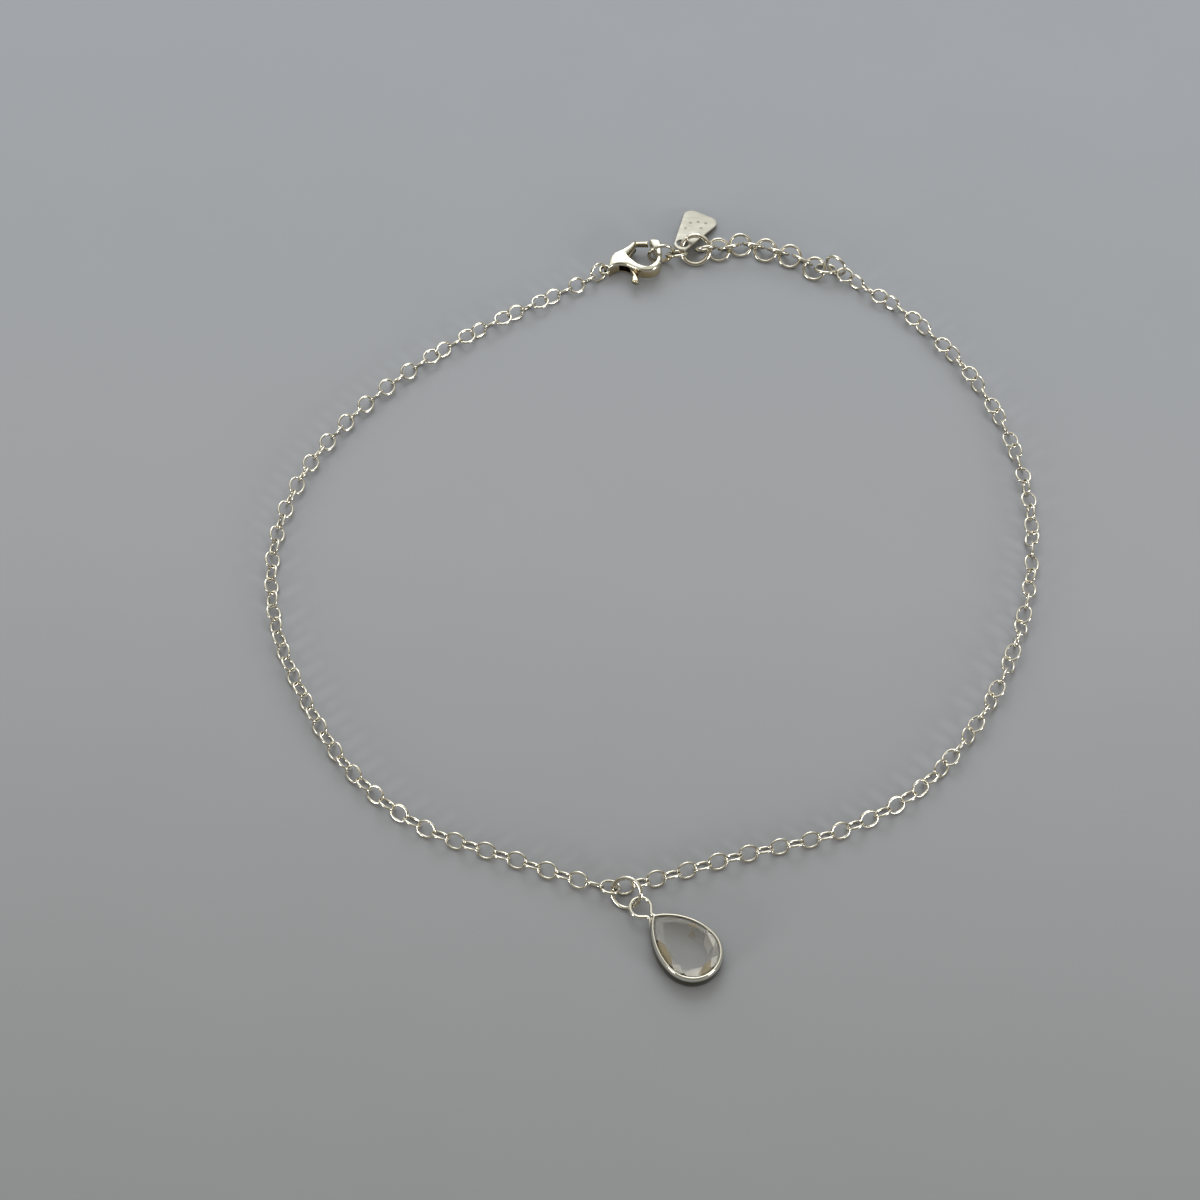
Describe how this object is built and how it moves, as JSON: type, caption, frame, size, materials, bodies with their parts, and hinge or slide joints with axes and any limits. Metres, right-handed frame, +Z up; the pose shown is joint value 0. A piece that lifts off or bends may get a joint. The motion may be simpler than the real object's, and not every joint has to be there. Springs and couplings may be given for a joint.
{
  "type": "chain anklet",
  "caption": "Silver cable-chain anklet with a pear-shaped crystal drop, an extension chain, a blank tag and a lobster clasp, closed in a loop and lying flat.",
  "frame": {"origin": "centre of the bounding box, on the surface that the anklet lies on", "axes": "+Z up from the surface, -Y towards the pear drop, +Y towards the clasp"},
  "size_m": [0.0872, 0.1008, 0.0033],
  "materials": {
    "chain_left": "polished silver",
    "chain_right": "polished silver",
    "clasp_body": "polished silver",
    "clasp_lever": "polished silver",
    "clasp_ring": "polished silver",
    "extension_link_1": "polished silver",
    "extension_link_2": "polished silver",
    "extension_link_3": "polished silver",
    "extension_link_4": "polished silver",
    "extension_link_5": "polished silver",
    "extension_link_6": "polished silver",
    "extension_link_7": "polished silver",
    "extension_link_8": "polished silver",
    "extension_link_9": "polished silver",
    "extension_link_10": "polished silver",
    "extension_link_11": "polished silver",
    "extension_link_12": "polished silver",
    "extension_link_13": "polished silver",
    "extension_link_14": "polished silver",
    "tag_ring": "polished silver",
    "tag": "brushed silver",
    "pendant_ring": "polished silver",
    "pendant_bezel": "polished silver",
    "pendant_stone": "clear faceted crystal"
  },
  "bodies": {
    "anklet": {"chain_left": "chain_left", "chain_right": "chain_right", "clasp_body": "clasp_body", "clasp_ring": "clasp_ring", "extension_link_1": "extension_link_1", "extension_link_2": "extension_link_2", "extension_link_3": "extension_link_3", "extension_link_4": "extension_link_4", "extension_link_5": "extension_link_5", "extension_link_6": "extension_link_6", "extension_link_7": "extension_link_7", "extension_link_8": "extension_link_8", "extension_link_9": "extension_link_9", "extension_link_10": "extension_link_10", "extension_link_11": "extension_link_11", "extension_link_12": "extension_link_12", "extension_link_13": "extension_link_13", "extension_link_14": "extension_link_14", "tag_ring": "tag_ring", "tag": "tag", "pendant_ring": "pendant_ring", "pendant_bezel": "pendant_bezel", "pendant_stone": "pendant_stone"},
    "clasp_lever": {"clasp_lever": "clasp_lever"}
  },
  "joints": [
    {"name": "clasp_lever_hinge", "type": "hinge", "parent": "anklet", "child": "clasp_lever", "pos_m": [-0.0045, 0.0429, 0.00121], "axis": [-0.0856, -0.0166, 0.9962], "range_deg": [-20, 0], "stiffness_Nm_per_rad": 0.00002, "springref_deg": 5.73}
  ]
}
